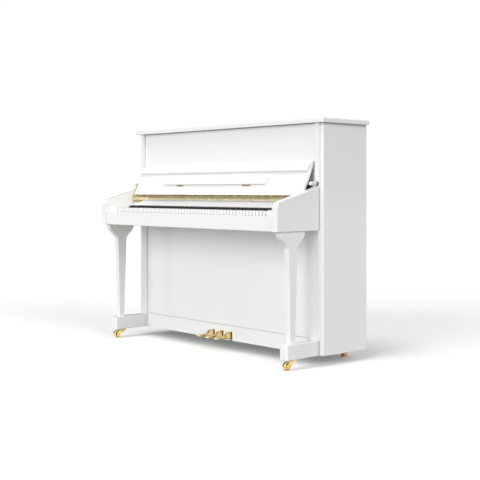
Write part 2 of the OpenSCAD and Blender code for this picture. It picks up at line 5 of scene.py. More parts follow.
import bpy
import numpy as np
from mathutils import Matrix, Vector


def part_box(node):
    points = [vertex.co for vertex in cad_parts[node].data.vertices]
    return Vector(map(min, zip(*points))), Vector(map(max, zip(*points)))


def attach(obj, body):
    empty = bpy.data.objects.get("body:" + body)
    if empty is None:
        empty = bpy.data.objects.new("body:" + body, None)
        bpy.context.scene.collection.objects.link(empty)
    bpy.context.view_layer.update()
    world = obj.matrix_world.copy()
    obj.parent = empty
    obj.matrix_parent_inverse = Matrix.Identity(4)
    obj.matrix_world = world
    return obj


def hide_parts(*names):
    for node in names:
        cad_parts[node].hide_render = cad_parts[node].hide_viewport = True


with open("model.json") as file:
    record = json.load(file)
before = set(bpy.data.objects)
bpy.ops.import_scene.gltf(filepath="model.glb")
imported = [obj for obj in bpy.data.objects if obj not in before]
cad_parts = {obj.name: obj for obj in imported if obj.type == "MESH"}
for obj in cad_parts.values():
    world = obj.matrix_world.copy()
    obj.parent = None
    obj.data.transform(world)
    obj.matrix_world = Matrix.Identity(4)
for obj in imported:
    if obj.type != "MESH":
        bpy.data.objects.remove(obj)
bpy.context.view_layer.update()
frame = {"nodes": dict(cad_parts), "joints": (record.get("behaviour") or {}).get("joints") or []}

MM = 0.001
EDGE = 1.2 * MM  # the usual rounding of a lacquered edge
SOFT_EDGE = 3 * MM
SIDES = (("left", -1), ("right", 1))
JOINTS = {joint["name"]: joint for joint in frame["joints"]}


def corners(node):
    """The lowest and highest corners of a node, as arrays."""
    lo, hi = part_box(node)
    return np.array(lo), np.array(hi)


def joint_place(name):
    """The point that a joint turns about."""
    return np.array(JOINTS[name]["pos_m"])


# Places that several pieces share
SIDE_LO, SIDE_HI = corners("side_panel_right")
STILE_LO, STILE_HI = corners("stiles")
ARM_LO, ARM_HI = corners("arm_right")
UPPER_LO, UPPER_HI = corners("upper_panel")
LOWER_HI = corners("lower_panel")[1]
RAIL_LO, RAIL_HI = corners("fallboard_rail")
PIVOT = joint_place("fallboard_hinge")
BOARD_UP = (joint_place("lip_hinge") - PIVOT) / np.linalg.norm(joint_place("lip_hinge") - PIVOT)
DESK_FOOT = np.linalg.norm(joint_place("desk_hinge") - PIVOT) + 1 * MM
PANEL_GAP = 1 * MM
PEDAL_HALF = 14 * MM


# Shapes ------------------------------------------------------------------------------------

def turned_ccw(points, radius):
    """The outline and its radii, counter-clockwise by the sign of the shoelace area."""
    points = np.array(points, float)
    radius = np.broadcast_to(radius, len(points))
    after = np.roll(points, -1, 0)
    area = (points[:, 0] * after[:, 1] - after[:, 0] * points[:, 1]).sum()
    return (points, radius) if area > 0 else (points[::-1], radius[::-1])


def edge_normals(points):
    """Outward unit normals of the edges before and after each point of an outline."""
    ahead = np.roll(points, -1, 0) - points
    ahead /= np.linalg.norm(ahead, axis=1, keepdims=True)
    before = np.roll(ahead, 1, 0)
    return (np.stack([before[:, 1], -before[:, 0]], 1), np.stack([ahead[:, 1], -ahead[:, 0]], 1),
            before[:, 0] * ahead[:, 1] - before[:, 1] * ahead[:, 0])


def rounded(points, radius=EDGE, steps=3):
    """An outline whose corners are arcs: centre = corner - side r (n1 + n2) / (1 + n1.n2), and each
    arc's normal turns evenly from n1 to n2. A concave corner has side = -1."""
    points, radius = turned_ccw(points, radius)
    first, second, cross = edge_normals(points)
    dot = (first * second).sum(1)
    side = np.where(cross < 0, -1.0, 1.0)
    reach = (side * radius / (1 + dot))[:, None]
    centre = points - reach * (first + second)
    angle = np.arctan2(first[:, 1], first[:, 0])[:, None] + np.arctan2(cross, dot)[:, None] * \
        np.linspace(0, 1, steps + 1)
    normal = np.stack([np.cos(angle), np.sin(angle)], -1)
    arcs = centre[:, None] + (side * radius)[:, None, None] * normal
    return arcs.reshape(-1, 2)


def in_mm(*points):
    """A profile that is written in millimetres."""
    return [tuple(MM * part for part in point) for point in points]


def rectangle(low, high):
    """Four corners, counter-clockwise."""
    return [(low[0], low[1]), (high[0], low[1]), (high[0], high[1]), (low[0], high[1])]


def to_axis(u, v, along, axis):
    """Outline coordinates u, v and the way along an axis, as points."""
    return np.stack({"x": (along, u, v), "y": (u, along, v), "z": (u, v, along)}[axis], -1)


def slab(outline, low, high, axis="x", edge=EDGE, steps=3):
    """An outline carried from low to high. Near both ends it draws in by 0.85 edge (1 - sin t) while
    it advances by edge (1 - cos t), t from 0 to 90 degrees, which rounds the edges of the ends."""
    draw_in = 0.85
    t = np.linspace(0, math.pi / 2, steps + 1)
    inward = draw_in * edge * (1 - np.sin(t))
    advance = edge * (1 - np.cos(t))
    first, second, _ = edge_normals(outline)
    mitre = (first + second) / (1 + (first * second).sum(1, keepdims=True))
    inward = np.concatenate([inward, inward[::-1]])[:, None, None]
    along = np.concatenate([low + advance, high - advance[::-1]])
    rings = outline - inward * mitre
    return to_axis(rings[..., 0], rings[..., 1], np.broadcast_to(along[:, None], rings.shape[:2]), axis)


def box_slab(low, high, axis="x", radius=EDGE, edge=EDGE, steps=3):
    """A block between two corners, with rounded edges all round."""
    u, v, w = {"x": (1, 2, 0), "y": (0, 2, 1), "z": (0, 1, 2)}[axis]
    outline = rounded(rectangle((low[u], low[v]), (high[u], high[v])), radius, steps)
    return slab(outline, low[w], high[w], axis, edge, steps)


def turned(profile, centre, axis="z", sides=24):
    """A profile of (radius, along) points turned about an axis through a centre."""
    radius, along = np.array(profile, float).T
    angle = np.linspace(0, 2 * math.pi, sides, endpoint=False)
    u = radius[:, None] * np.cos(angle)
    v = radius[:, None] * np.sin(angle)
    return to_axis(u, v, np.broadcast_to(along[:, None], u.shape), axis) + np.array(centre)


def loft(u, v, z, half_u, half_v, radius, steps=4):
    """Rounded rectangles with centres (u, v) and half-sizes that change row by row up z."""
    quarter = np.arange(4)[:, None] * math.pi / 2
    angle = (quarter + np.linspace(0, math.pi / 2, steps + 1)).ravel()
    sign_u = np.repeat([1, -1, -1, 1], steps + 1)
    sign_v = np.repeat([1, 1, -1, -1], steps + 1)
    u, v, half_u, half_v = (np.broadcast_to(a, z.shape)[:, None] for a in (u, v, half_u, half_v))
    return np.stack([u + sign_u * (half_u - radius) + radius * np.cos(angle),
                     v + sign_v * (half_v - radius) + radius * np.sin(angle),
                     np.broadcast_to(z[:, None], (len(z), len(angle)))], -1)


def on_board(shell):
    """From the open board's own axes: z runs up the board from its hinge, y runs behind it."""
    x, y, z = np.moveaxis(np.asarray(shell), -1, 0)
    return np.stack([x, PIVOT[1] + z * BOARD_UP[1] + y * BOARD_UP[2],
                     PIVOT[2] + z * BOARD_UP[2] - y * BOARD_UP[1]], -1)


def mirrored(shell, side):
    """A shell of the treble side, carried over to the bass side where side is -1."""
    return np.asarray(shell) * (side, 1, 1)


def both_sides(*shells):
    """Each shell at the bass side and at the treble side."""
    return [mirrored(shell, sign) for shell in shells for _, sign in SIDES]


def shell_faces(shell, first):
    """Quads between the rings of a shell and a cap at each end, facing outwards: the rings are read
    backwards if the signed volume, the sum of a.(b x c) / 6 over the quads and caps, is negative."""
    rows, columns = shell.shape[:2]
    r = np.arange(rows - 1)[:, None] * columns
    c = np.arange(columns)
    after = (c + 1) % columns
    quads = np.stack([r + c, r + after, r + columns + after, r + columns + c], -1).reshape(-1, 4)
    caps = np.stack([c[::-1], (rows - 1) * columns + c])
    middle = shell.reshape(-1, 3).mean(0)
    points = shell.reshape(-1, 3) - middle
    a, b, c2, d = (points[quads[:, i]] for i in range(4))
    volume = (a * (np.cross(b, c2) + np.cross(c2, d))).sum()
    for cap in caps:
        fan = points[cap]
        volume += (fan[0] * np.cross(fan[1:-1], fan[2:])).sum()
    if volume < 0:
        quads, caps = quads[:, ::-1], caps[:, ::-1]
    return (quads + first).tolist() + (caps + first).tolist()


def piece(name, shells, body, nodes, finishes, sharp=40):
    """One object of closed shells. finishes is a material, or a list with one for each shell."""
    points, faces, marks, first = [], [], [], 0
    several = isinstance(finishes, list)
    kinds = list(dict.fromkeys(finishes)) if several else [finishes]
    for number, shell in enumerate(shells):
        made = shell_faces(shell, first)
        faces += made
        marks += [kinds.index(finishes[number]) if several else 0] * len(made)
        points.append(shell.reshape(-1, 3))
        first += len(points[-1])
    mesh = bpy.data.meshes.new(name)
    mesh.from_pydata(np.concatenate(points), [], faces)
    mesh.polygons.foreach_set("material_index", np.array(marks, np.int32))
    mesh.polygons.foreach_set("use_smooth", np.ones(len(faces), bool))
    mesh.set_sharp_from_angle(angle=math.radians(sharp))
    for kind in kinds:
        mesh.materials.append(kind)
    made = bpy.data.objects.new(name, mesh)
    bpy.context.scene.collection.objects.link(made)
    weighted = made.modifiers.new("face_weighted_normals", "WEIGHTED_NORMAL")
    weighted.keep_sharp = True
    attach(made, body)
    if nodes:
        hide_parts(*nodes)


def lacquered(node, shells, body="case"):
    """A white piece in place of a node."""
    piece(node + "_lacquered", shells, body, [node], WHITE)


# Materials ---------------------------------------------------------------------------------

class Value:
    """A node's output that Python's operators work on: each adds the Math node that it names."""

    def __init__(self, finish, socket):
        self.finish = finish
        self.socket = socket

    def maths(self, operation, *terms):
        return self.finish.node("Math", dict(enumerate(terms)), operation=operation)

    def __add__(self, other):
        return self.maths("ADD", self, other)

    def __mul__(self, other):
        return self.maths("MULTIPLY", self, other)

    __radd__ = __add__
    __rmul__ = __mul__


class Finish:
    """A material in the making. node() adds any node and returns one of its outputs."""

    def __init__(self, name):
        self.material = bpy.data.materials.new(name)
        self.material.use_nodes = True
        self.tree = self.material.node_tree
        self.shader = self.tree.nodes["Principled BSDF"]
        self.place = self.node("TexCoord", output="Object")

    def node(self, kind, inputs=None, output=0, stops=None, **settings):
        made = self.tree.nodes.new("ShaderNode" + kind)
        for setting, value in settings.items():
            setattr(made, setting, value)
        for number, (position, colour) in enumerate(stops or []):
            element = made.color_ramp.elements[number] if number < 2 else \
                made.color_ramp.elements.new(position)
            element.position = position
            element.color = (*colour, 1)
        self.feed(made, inputs or {})
        return Value(self, made.outputs[output])

    def feed(self, node, inputs):
        for socket, value in inputs.items():
            if isinstance(value, Value):
                self.tree.links.new(value.socket, node.inputs[socket])
            else:
                node.inputs[socket].default_value = value

    def noise(self, scale, detail=2, stretch=(1, 1, 1), roughness=0.5, place=None):
        """Noise with a number of cells to the metre, stretched along the axes."""
        vector = self.node("Mapping", {"Vector": place or self.place, "Scale": stretch})
        return self.node("TexNoise", {"Vector": vector, "Scale": scale, "Detail": detail,
                                      "Roughness": roughness})

    def blend(self, first, second, share):
        """Two colours mixed by a value."""
        colours = [c if isinstance(c, Value) else (*c, 1) for c in (first, second)]
        return self.node("Mix", {0: share, 6: colours[0], 7: colours[1]}, output=2, data_type="RGBA")

    def bump(self, height, distance, strength=1.0):
        return self.node("Bump", {"Height": height, "Distance": distance, "Strength": strength})

    def done(self, **sockets):
        self.feed(self.shader, {name.replace("_", " "): value for name, value in sockets.items()})
        return self.material


def lacquer():
    """White polyester: deep gloss, a faint orange peel and slow changes of tone and polish."""
    f = Finish("white_lacquer")
    tone = f.noise(2.2, 2)
    peel = f.noise(210, 1)
    haze = f.noise(9, 3)
    return f.done(Base_Color=f.blend((0.87, 0.868, 0.862), (0.845, 0.845, 0.84), tone),
                  Roughness=0.05 + 0.05 * haze, IOR=1.5,
                  Normal=f.bump(peel, 0.03 * MM, 0.35))


def acrylic():
    """White key covers: a satin polish with a fine tooth."""
    f = Finish("key_acrylic")
    tone = f.noise(30, 2)
    fine = f.noise(900, 2)
    return f.done(Base_Color=f.blend((0.93, 0.93, 0.925), (0.90, 0.90, 0.89), tone),
                  Roughness=0.16 + 0.08 * tone, IOR=1.49, Normal=f.bump(fine, 0.02 * MM, 0.3))


def ebony():
    """Black key tops: satin, with fine streaks along the key."""
    f = Finish("key_ebony")
    streaks = f.noise(160, 3, (3, 0.12, 3))
    return f.done(Base_Color=f.blend((0.012, 0.012, 0.013), (0.03, 0.028, 0.027), streaks),
                  Roughness=0.22 + 0.14 * streaks, Normal=f.bump(streaks, 0.05 * MM, 0.4))


def brass(name="polished_brass", light=(0.90, 0.71, 0.34), dark=(0.42, 0.27, 0.08), gloss=0.08):
    """Polished and lacquered brass with a faint tarnish and fine rubbing marks."""
    f = Finish(name)
    tarnish = f.noise(38, 4)
    marks = f.noise(700, 2, (0.15, 1, 1))
    share = f.node("ValToRGB", {0: tarnish}, stops=[(0.45, (0, 0, 0)), (0.75, (1, 1, 1))])
    return f.done(Base_Color=f.blend(light, dark, share), Metallic=1.0,
                  Roughness=gloss + 0.16 * tarnish, Normal=f.bump(marks, 0.04 * MM, 0.35))


def wood(name, light, dark, grain=(1, 1, 0.05), scale=60, rough=0.5, slope=0.0):
    """Planed wood: streaks drawn out along the grain, fine pores and slow changes of tone."""
    f = Finish(name)
    along = f.node("Mapping", {"Vector": f.place, "Rotation": (0, slope, 0)})
    rings = f.noise(scale, 4, grain, 0.6, along)
    pores = f.noise(scale * 9, 2, grain, place=along)
    bands = f.node("ValToRGB", {0: rings}, stops=[(0.36, (0, 0, 0)), (0.66, (1, 1, 1))])
    colour = f.blend(f.blend(light, dark, bands), dark, 0.35 * pores)
    return f.done(Base_Color=colour, Roughness=rough + 0.2 * pores, Normal=f.bump(pores, 0.15 * MM, 0.5))


def felt(name, light, dark):
    """Pressed wool: a mottled tone under a fuzzy surface."""
    f = Finish(name)
    clouds = f.noise(120, 4)
    fibres = f.noise(1800, 3)
    return f.done(Base_Color=f.blend(light, dark, clouds), Roughness=0.85 + 0.1 * fibres,
                  Sheen_Weight=0.4, Normal=f.bump(fibres, 0.4 * MM, 0.8))


def rubber():
    """Dull black rubber with a fine grain."""
    f = Finish("collar_rubber")
    grain = f.noise(900, 3)
    return f.done(Base_Color=f.blend((0.05, 0.05, 0.05), (0.09, 0.09, 0.09), grain),
                  Roughness=0.6 + 0.2 * grain, Normal=f.bump(grain, 0.1 * MM, 0.5))


def nylon():
    """White moulded nylon, a little grained."""
    f = Finish("peg_nylon")
    grain = f.noise(400, 3)
    return f.done(Base_Color=f.blend((0.80, 0.80, 0.79), (0.74, 0.74, 0.73), grain),
                  Roughness=0.35 + 0.1 * grain, Normal=f.bump(grain, 0.05 * MM, 0.4))


def bronze_paint():
    """Gold bronze paint on cast iron: metallic flakes over a sand-cast skin."""
    f = Finish("bronze_paint")
    skin = f.noise(160, 5)
    flakes = f.noise(2500, 1)
    return f.done(Base_Color=f.blend((0.62, 0.44, 0.16), (0.48, 0.33, 0.11), skin),
                  Metallic=0.75, Roughness=0.34 + 0.16 * flakes, Normal=f.bump(skin, 0.6 * MM, 0.5))


def metal(name, light, dark, gloss=0.25, scale=500):
    """Bare metal with marks drawn out up z."""
    f = Finish(name)
    marks = f.noise(scale, 3, (1, 1, 0.2))
    return f.done(Base_Color=f.blend(light, dark, marks), Metallic=1.0, Roughness=gloss + 0.18 * marks,
                  Normal=f.bump(marks, 0.05 * MM, 0.4))


WHITE = lacquer()
ACRYLIC = acrylic()
EBONY = ebony()
BRASS = brass()
# Two copies of the hinge's brass: a darker one with painted shade and dark reflection, and a lighter one with
# a painted highlight.
SHADED_BRASS = brass("upper_leaf_brass", (0.62, 0.46, 0.20), (0.24, 0.15, 0.05), 0.22)
HIGHLIT_BRASS = brass("hinge_brass", (1.0, 0.90, 0.58), (0.84, 0.66, 0.33), 0.12)
# Grey felt for the strips beside the stiles: painted shade and dark reflection, not a real joint.
PAINTED_SHADE_GREY = felt("joint_strip", (0.40, 0.40, 0.40), (0.34, 0.34, 0.34))
FRAME_WOOD = wood("back_post_pine", (0.70, 0.50, 0.28), (0.52, 0.33, 0.16))
BEAM_WOOD = wood("beam_pine", (0.69, 0.49, 0.28), (0.52, 0.33, 0.16), (0.05, 1, 1))
# The bottom board is near black: painted shade for the dark space under the piano.
SHADE_BLACK_BOARD = wood("bottom_board_stained", (0.045, 0.04, 0.036), (0.025, 0.022, 0.02), (0.05, 1, 1), 70)
KEY_WOOD = wood("key_spruce", (0.80, 0.72, 0.58), (0.68, 0.58, 0.42), (1, 0.04, 1), 240)
SPRUCE = wood("soundboard_spruce", (0.80, 0.60, 0.33), (0.66, 0.44, 0.20), (0.03, 1, 1), 130, 0.3,
              math.radians(-38))
MAPLE = wood("pin_block_maple", (0.68, 0.50, 0.32), (0.54, 0.37, 0.21), (0.06, 1, 1), 90, 0.4)
HAMMER_FELT = felt("hammer_felt", (0.80, 0.77, 0.70), (0.70, 0.66, 0.58))
DAMPER_FELT = felt("damper_felt", (0.30, 0.27, 0.25), (0.20, 0.17, 0.15))
GREEN_FELT = felt("green_felt", (0.06, 0.24, 0.13), (0.03, 0.15, 0.08))
RUBBER = rubber()
NYLON = nylon()
PLATE = bronze_paint()
STEEL = metal("nickel_steel", (0.66, 0.66, 0.67), (0.50, 0.50, 0.51))
STRINGS = metal("string_copper", (0.72, 0.42, 0.26), (0.55, 0.30, 0.17), 0.28, 1500)
CAST_METAL = metal("cast_metal", (0.62, 0.62, 0.63), (0.48, 0.48, 0.50), 0.35, 300)


# Case --------------------------------------------------------------------------------------

def side_panels():
    """A plain board with a broader round on its outer front edge."""
    front_round = 5 * MM
    outline = rounded(rectangle(SIDE_LO[:2], SIDE_HI[:2]), [EDGE, front_round, EDGE, EDGE], 5)
    panel = slab(outline, SIDE_LO[2], SIDE_HI[2], "z", EDGE)
    for side, sign in SIDES:
        lacquered(f"side_panel_{side}", [mirrored(panel, sign)])


def stiles():
    """Each stile is one outline with three widths: below the arm, behind it and beside the upper panel.
    Returns behind it carry the panels."""
    clear = 2 * MM
    out, top, foot = STILE_HI[0], STILE_HI[2], STILE_LO[2]
    lower_in = LOWER_HI[0] + PANEL_GAP
    upper_in = UPPER_HI[0] + PANEL_GAP
    arm_low = ARM_LO[2] - clear
    upper_low = UPPER_LO[2] - clear
    face = rounded([(out, foot), (out, top), (upper_in, top), (upper_in, upper_low),
                    (ARM_LO[0], upper_low), (ARM_LO[0], arm_low), (lower_in, arm_low),
                    (lower_in, foot)])
    front, middle, back = STILE_LO[1], SIDE_LO[1], STILE_HI[1]
    lacquered("stiles", both_sides(
        slab(face, front, middle, "y"),
        box_slab((lower_in, middle, foot), (SIDE_LO[0], back, arm_low), "z"),
        box_slab((upper_in, middle, upper_low), (SIDE_LO[0], back, top), "z")))


def panels():
    """Rounded boards that reach a little further into their gaps than the CAD panels."""
    wider = np.array([0.7 * MM, 0, 0.6 * MM])
    for node in ("upper_panel", "lower_panel"):
        low, high = corners(node)
        lacquered(node, [box_slab(low - wider, high + wider, "y")])


def bottom_rail():
    """A rail with a round-headed slot cut up from its lower edge for each pedal."""
    low, high = corners("bottom_rail")
    half, head, head_r = 12 * MM, 47 * MM, 8 * MM
    pitch = corners("pedal_sustain")[0][0] + PEDAL_HALF
    outline, radius = [(low[0], low[2])], [EDGE]
    for middle in (-pitch, 0, pitch):
        outline += [(middle - half, low[2]), (middle - half, low[2] + head),
                    (middle + half, low[2] + head), (middle + half, low[2])]
        radius += [EDGE, head_r, head_r, EDGE]
    outline += [(high[0], low[2]), (high[0], high[2]), (low[0], high[2])]
    radius += [EDGE] * 3
    lacquered("bottom_rail", [slab(rounded(outline, radius, 5), low[1], high[1], "y")])


def key_slip():
    """A rail with broadly rounded long edges."""
    low, high = corners("key_slip")
    lacquered("key_slip", [box_slab(low, high, "x", SOFT_EDGE, EDGE, 4)])


def key_blocks():
    """The blocks that fill the keyboard's ends, a gap away from the last key."""
    low, high = corners("key_blocks")
    inner = corners("keys_c")[1][0] + 1.5 * MM
    lacquered("key_blocks", both_sides(box_slab((inner, low[1], low[2]), high, "x", SOFT_EDGE, EDGE, 4)))


def arms():
    """The side outline: upright front, a round corner of 32 mm, a straight slope of 15 degrees, and a
    cubic curl over the last 60 mm before the stile."""
    slope, corner_r, curl, rise = math.radians(15), 32 * MM, 60 * MM, 4 * MM
    far = ARM_HI[1]
    tip_y = ARM_LO[1] + corner_r + corner_r * math.cos(math.pi / 2 + slope)
    tip_z = ARM_HI[2] - rise - (far - tip_y) * math.tan(slope)
    centre = (ARM_LO[1] + corner_r, tip_z - corner_r * math.sin(math.pi / 2 + slope))
    angle = np.linspace(math.pi, math.pi / 2 + slope, 14)
    corner = np.stack([centre[0] + corner_r * np.cos(angle), centre[1] + corner_r * np.sin(angle)], 1)
    along = np.linspace(0, 1, 9)
    hook_y = far - curl + curl * along
    hook = np.stack([hook_y, tip_z + (hook_y - tip_y) * math.tan(slope) + rise * along ** 3], 1)
    outline, _ = turned_ccw(np.concatenate([[(far, ARM_LO[2]), (ARM_LO[1], ARM_LO[2])], corner, hook]), 0)
    shell = slab(outline, ARM_LO[0], ARM_HI[0], "x", 2.5 * MM, 4)
    for side, sign in SIDES:
        lacquered(f"arm_{side}", [mirrored(shell, sign)])


def legs():
    """Rounded rectangles up the leg. Depth: straight taper from foot to neck, then s s (3 - 2 s) out to
    the flare. Width: 3 mm less each side at the foot. Two brass screws hold the head to the arm."""
    low, high = corners("leg_right")
    neck, foot, flare_front, flare_back, flare_h = 58 * MM, 33 * MM, 55 * MM, 50 * MM, 70 * MM
    narrower, screw_apart, screw_drop = 3 * MM, 46 * MM, 2 * MM
    flare_top = high[2] - 15 * MM
    neck_z = flare_top - flare_h
    middle = low[1] + flare_front + neck / 2
    z = np.concatenate([np.linspace(low[2], neck_z, 12), np.linspace(neck_z, flare_top, 22)[1:],
                        [high[2] - EDGE, high[2]]])
    taper = np.minimum(1, (z - low[2]) / (neck_z - low[2]))
    s = np.clip((z - neck_z) / flare_h, 0, 1)
    out = s * s * (3 - 2 * s)
    half = (foot + (neck - foot) * taper) / 2
    front = middle - half - flare_front * out
    back = middle + half + flare_back * out
    across = (high[0] - low[0]) / 2 - narrower * (1 - taper)
    shell = loft((low[0] + high[0]) / 2, (front + back) / 2, z, across, (back - front) / 2, SOFT_EDGE)
    head = in_mm((0.4, -1.6), (1.6, -1.6), (2.2, -2.2), (4, -1.6), (5, 0.2))
    screws = [turned(head, (low[0], middle + shift, flare_top - screw_drop), "x", 16)
              for shift in (-screw_apart, screw_apart)]
    for side, sign in SIDES:
        lacquered(f"leg_{side}", [mirrored(shell, sign)])
        piece(f"leg_screws_{side}", [mirrored(s, sign) for s in screws], "case", [], BRASS)


def toe_blocks():
    """Blocks with broadly rounded upright edges."""
    shell = box_slab(*corners("toe_block_right"), "z", 9 * MM, SOFT_EDGE, 6)
    for side, sign in SIDES:
        lacquered(f"toe_block_{side}", [mirrored(shell, sign)])


def joint_strips():
    """Thin grey strips beside the stiles, behind the arms and the toe blocks: painted shade and dark
    reflection where these parts meet the stiles.
    """
    deep, proud, long, fine = 4 * MM, 0.3 * MM, 5 * MM, 0.3 * MM
    out = STILE_HI[0]
    strips = []
    for node, sink in (("arm_right", 9 * MM), ("toe_block_right", 1 * MM)):
        low, high = corners(node)
        strips.append(box_slab((out - deep, high[1] + 0.2 * MM, low[2] + 1 * MM),
                               (out + proud, high[1] + long, high[2] - sink), "z", fine, fine))
    piece("joint_strips", both_sides(*strips), "case", [], PAINTED_SHADE_GREY)


def lid():
    """A flat board with rounded upper, lower and corner edges."""
    lacquered("lid", [box_slab(*corners("lid"), "z", 7 * MM, 4 * MM, 5)], "lid")


# Fallboard ---------------------------------------------------------------------------------

BOARD_HALF = corners("fallboard")[1][0]
BOARD_FACE = 1.5 * MM
BOARD_LENGTH = 203 * MM
BOARD_THICK = 15 * MM
LIP_HINGE = np.linalg.norm(joint_place("lip_hinge") - PIVOT)
LEAF_HALF = BOARD_HALF - 2 * MM
FINE_EDGE = 0.3 * MM
KNUCKLE = 30 * MM
KNUCKLE_R = 2.6 * MM
HINGE_HALF = KNUCKLE * math.floor((2 * BOARD_HALF - 40 * MM) / KNUCKLE / 2)
SCREW = in_mm((0.5, -0.45), (1.0, -0.45), (1.3, -0.8), (2.4, -0.6), (3.1, 0.1))


def fallboard_rail():
    """The moulding behind the keys: a face with a groove under its top lip."""
    low, high = RAIL_LO, RAIL_HI
    face = low[1] + 4.5 * MM
    groove_low, groove_high, groove_back = low[2] + 24 * MM, low[2] + 31 * MM, face + 7 * MM
    outline = rounded([(face, low[2]), (face, groove_low), (groove_back, groove_low),
                       (groove_back, groove_high), (low[1], groove_high), (low[1], high[2]),
                       (high[1], high[2]), (high[1], low[2])])
    lacquered("fallboard_rail", [slab(outline, low[0], high[0])])


def fallboard():
    """A board with a nearly full round along its upper end."""
    foot, round_r = 3.5 * MM, BOARD_THICK / 2 - 0.5 * MM
    outline = rounded(rectangle((BOARD_FACE, foot), (BOARD_FACE + BOARD_THICK, BOARD_LENGTH)),
                      [EDGE, EDGE, round_r, round_r], 6)
    lacquered("fallboard", [on_board(slab(outline, -BOARD_HALF, BOARD_HALF))], "fallboard")


def fallboard_lip():
    """The folding lip: a bar with a full round on its front edges."""
    half = corners("fallboard_lip")[1][0]
    top, deep, front, back = LIP_HINGE - 1 * MM, 44 * MM, -15 * MM, 1 * MM
    outline = rounded(rectangle((front, top - deep), (back, top)), [7 * MM, 2 * MM, 1 * MM, 13 * MM], 8)
    lacquered("fallboard_lip", [on_board(slab(outline, -half, half, "x", 2 * MM, 4))], "fallboard_lip")


def music_desk():
    """A thin bar with round corners, folded against the board."""
    low, high = corners("music_desk")
    deep, front, back = 47 * MM, -12.2 * MM, 0.8 * MM
    outline = rounded(rectangle((low[0], DESK_FOOT), (high[0], DESK_FOOT + deep)), 14 * MM, 8)
    lacquered("music_desk", [on_board(slab(outline, front, back, "y", SOFT_EDGE, 4))], "music_desk")


def knuckles(odd):
    """Every other barrel of the long hinge, each with a chamfer at its ends."""
    r, gap, chamfer = KNUCKLE_R, 0.6 * MM, 0.4 * MM
    length = KNUCKLE - gap
    barrel = [(r - chamfer, 0), (r, chamfer), (r, length - chamfer), (r - chamfer, length)]
    starts = np.arange(-HINGE_HALF + odd * KNUCKLE, HINGE_HALF - 1 * MM, 2 * KNUCKLE)
    return [turned(barrel, (start + gap / 2, 0, 0), "x", 14) for start in starts]


def leaf(front, back, low, high):
    """A strip of brass across the whole board."""
    return box_slab((-LEAF_HALF, front, low), (LEAF_HALF, back, high), "x", FINE_EDGE, FINE_EDGE)


def bass_bracket(leaf_foot):
    """The lower half of an ellipse under the leaf at the bass end, with two screws."""
    x, half, drop, front, back = 40 * MM - ARM_LO[0], 38 * MM, 16 * MM, -0.6 * MM, 1.3 * MM
    angle = np.linspace(math.pi + 0.44, 2 * math.pi - 0.44, 12)
    curve = np.stack([x + half * np.cos(angle), leaf_foot + drop * np.sin(angle)], 1)
    outline, _ = turned_ccw(np.concatenate([curve, [(curve[-1, 0], leaf_foot), (curve[0, 0], leaf_foot)]]), 0)
    screws = [turned(SCREW, (x + shift, front, leaf_foot - 6 * MM), "y", 12) for shift in (-20 * MM, 16 * MM)]
    return [slab(outline, front, back, "y", FINE_EDGE, 2)] + screws


def desk_hinge(x):
    """A small leaf below the folded desk, three barrels on the desk joint's axis and four screws."""
    half, front = 30 * MM, -0.5 * MM
    barrel = in_mm((0.6, 0), (0.85, 0.3), (0.85, 19.1), (0.6, 19.4))
    small = np.array(SCREW) * 0.55
    plate = box_slab((x - half, front, DESK_FOOT - 6 * MM), (x + half, BOARD_FACE, DESK_FOOT - 2 * MM), "x",
                     0.6 * MM, 0.4 * MM)
    barrels = [turned(barrel, (x + start, 0, DESK_FOOT - 1 * MM), "x", 12)
               for start in (-half, -9.7 * MM, 10.6 * MM)]
    screws = [turned(small, (x + shift, front, DESK_FOOT - 4 * MM), "y", 10)
              for shift in (-24 * MM, -8 * MM, 8 * MM, 24 * MM)]
    return [plate] + barrels + screws


def hinge():
    """The long hinge. The lower leaf and its knuckles are on the rail with the bass bracket. The upper
    leaf, in two strips, is on the fallboard with the bass strap and the desk's two hinges. The lower leaf,
    the knuckles, the screws and the upper leaf's narrow strip are a lighter copy of brass with a painted
    highlight;
    the upper leaf's wide strip, the bracket, the strap and the desk's hinges are a darker copy of brass with
    painted shade and dark reflection."""
    screw_x = np.linspace(-HINGE_HALF + 22 * MM, HINGE_HALF - 22 * MM, 19)
    near, middle, far, leaf_foot = 3.2 * MM, 8 * MM, 17 * MM, -14 * MM
    # Lower leaf, knuckles and screws: the lighter brass with a painted highlight; the bracket: the darker
    # brass with painted shade.
    highlit = [leaf(0, 1.4 * MM, leaf_foot, -near)] + knuckles(0)
    highlit += [turned(SCREW, (x, 0, -8 * MM), "y", 12) for x in screw_x]
    shaded = bass_bracket(leaf_foot)
    piece("hinge_lower_leaf", [shell + PIVOT for shell in highlit + shaded], "case", ["hinge_leaf"],
          [HIGHLIT_BRASS] * len(highlit) + [SHADED_BRASS] * len(shaded))
    # Upper leaf: the wide strip, strap and desk hinges get the darker brass with painted shade, the narrow
    # strip, knuckles and screws the lighter brass with a painted highlight.
    wide = [leaf(0.1 * MM, BOARD_FACE, middle, far)]
    highlit = [leaf(0, BOARD_FACE, near, middle)] + knuckles(1)
    highlit += [turned(SCREW, (x, 0.1 * MM, 11 * MM), "y", 12) for x in screw_x]
    strap = rounded(rectangle((-3 * MM, 3 * MM), (4 * MM, 77 * MM)), 3 * MM, 5)
    shaded = [slab(strap, -ARM_LO[0] + 0.6 * MM, -BOARD_HALF, "x", 0.5 * MM)]
    desk_x = (corners("music_desk")[0][0] + corners("music_desk")[1][0]) / 2
    for apart in (-269 * MM, 269 * MM):
        shaded += desk_hinge(desk_x + apart)
    piece("hinge_upper_leaf", [on_board(shell) for shell in wide + highlit + shaded], "fallboard",
          ["fallboard_brass"], [SHADED_BRASS] + [HIGHLIT_BRASS] * len(highlit) + [SHADED_BRASS] * len(shaded))


